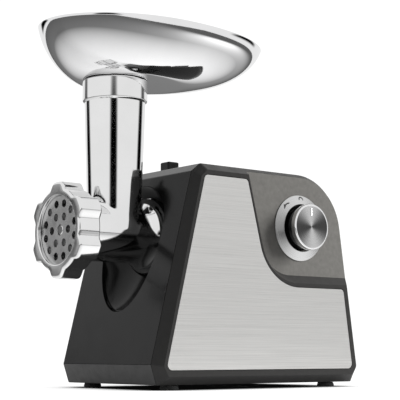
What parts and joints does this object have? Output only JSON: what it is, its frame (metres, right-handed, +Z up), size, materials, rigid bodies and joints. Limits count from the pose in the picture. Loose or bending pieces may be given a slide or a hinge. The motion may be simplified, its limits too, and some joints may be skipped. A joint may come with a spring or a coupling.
{
  "type": "electric meat grinder",
  "caption": "Countertop electric meat grinder: motor housing with control dial, geared auger drive, detachable grinding head with ring nut, feed tube and hopper tray.",
  "frame": {"origin": "on the surface that the machine stands on, under the middle of its bounding box", "axes": "+Z up; the grinding head points along -X and the side with the control dial faces -Y"},
  "size_m": [0.3194, 0.1708, 0.3289],
  "materials": {
    "black_gloss": "glossy black moulded plastic",
    "grey_cover": "warm dark grey semi-matte plastic",
    "black_matte": "matte black plastic",
    "brushed_steel": "stainless sheet brushed along its length",
    "mirror_steel": "mirror-polished stainless sheet",
    "cast_chrome": "polished cast aluminium",
    "dark_spun": "dark aluminium turned on its face",
    "rubber": "soft black rubber",
    "white_mark": "white pointer line",
    "gearbox_grey": "plain die casting",
    "gear_steel": "machined steel",
    "gear_nylon": "natural nylon",
    "lamination": "stacked steel laminations",
    "copper": "enamelled copper wire and copper bars",
    "brass": "sintered bronze and brass"
  },
  "bodies": {
    "housing": {"main_housing": "black_gloss", "control_side_cover": "grey_cover", "plain_side_cover": "grey_cover", "control_side_panel": "brushed_steel", "plain_side_panel": "brushed_steel", "base_pan": "black_matte", "foot_1": "rubber", "foot_2": "rubber", "foot_3": "rubber", "foot_4": "rubber", "foot_screw_1": "gear_steel", "foot_screw_2": "gear_steel", "foot_screw_3": "gear_steel", "foot_screw_4": "gear_steel", "cord_inlet_gland": "black_matte", "head_socket": "black_matte", "gearbox_housing": "gearbox_grey", "gearbox_cover": "gearbox_grey", "first_gear_axle": "gear_steel", "second_gear_axle": "gear_steel", "output_bearing": "brass", "motor_front_bearing": "brass", "motor_rear_bearing": "brass", "stator_core": "lamination", "lower_field_coil": "copper", "upper_field_coil": "copper", "motor_rear_bracket": "gear_steel", "brush_holder_left": "brass", "brush_holder_right": "brass", "rotary_switch": "black_matte", "dial_bezel": "brushed_steel", "button_surround": "black_gloss", "release_spring": "gear_steel"},
    "motor_rotor": {"motor_shaft": "gear_steel", "motor_pinion": "gear_steel", "armature_core": "lamination", "commutator": "copper", "cooling_fan": "gear_nylon"},
    "first_gear": {"first_gear": "gear_nylon"},
    "second_gear": {"second_gear": "gear_steel"},
    "auger": {"output_gear": "gear_steel", "feed_auger": "cast_chrome", "auger_washer": "gear_nylon", "cutting_blade": "gear_steel"},
    "head": {"head_casting": "cast_chrome", "plate_key_pin": "gear_steel"},
    "cutting_plate": {"cutting_plate": "gear_steel"},
    "ring_nut": {"ring_nut": "cast_chrome"},
    "hopper_tray": {"hopper_tray": "mirror_steel"},
    "knob": {"control_knob": "black_gloss", "knob_cap": "dark_spun", "knob_pointer": "white_mark", "switch_spindle": "gear_steel"},
    "release_button": {"release_button": "black_gloss", "latch_bolt": "gear_steel"}
  },
  "joints": [
    {"name": "auger_turn", "type": "hinge", "parent": "housing", "child": "auger", "pos_m": [0.02135, 0.0064, 0.14], "axis": [1, 0, 0], "continuous": true},
    {"name": "second_gear_turn", "type": "hinge", "parent": "housing", "child": "second_gear", "pos_m": [0.02135, 0.0064, 0.10625], "axis": [1, 0, 0], "continuous": true},
    {"name": "first_gear_turn", "type": "hinge", "parent": "housing", "child": "first_gear", "pos_m": [0.02135, 0.0064, 0.08125], "axis": [1, 0, 0], "continuous": true},
    {"name": "motor_spin", "type": "hinge", "parent": "housing", "child": "motor_rotor", "pos_m": [0.02135, 0.0064, 0.05965], "axis": [1, 0, 0], "continuous": true},
    {"name": "head_twist", "type": "hinge", "parent": "housing", "child": "head", "pos_m": [0.02135, 0.0064, 0.14], "axis": [1, 0, 0], "range_deg": [0, 45]},
    {"name": "plate_slide", "type": "slide", "parent": "head", "child": "cutting_plate", "axis": [-1, 0, 0], "range_m": [0, 0.012]},
    {"name": "ring_nut_turn", "type": "hinge", "parent": "cutting_plate", "child": "ring_nut", "pos_m": [0.02135, 0.0064, 0.14], "axis": [-1, 0, 0], "range_deg": [0, 1080]},
    {"name": "tray_lift", "type": "slide", "parent": "head", "child": "hopper_tray", "axis": [0, 0, 1], "range_m": [0, 0.06]},
    {"name": "knob_turn", "type": "hinge", "parent": "housing", "child": "knob", "pos_m": [0.07685, 0.0064, 0.1495], "axis": [0, 1, 0], "range_deg": [-45, 45]},
    {"name": "button_press", "type": "slide", "parent": "housing", "child": "release_button", "axis": [0, 0, -1], "range_m": [0, 0.0035], "stiffness_N_per_m": 400, "deforming": ["release_spring"]}
  ],
  "couplings": [
    {"joint": "second_gear_turn", "follows": "auger_turn", "ratio": -3.0909},
    {"joint": "first_gear_turn", "follows": "auger_turn", "ratio": 12.364},
    {"joint": "motor_spin", "follows": "auger_turn", "ratio": -61.818},
    {"joint": "plate_slide", "follows": "ring_nut_turn", "m_per_rad": 0.00063662}
  ]
}
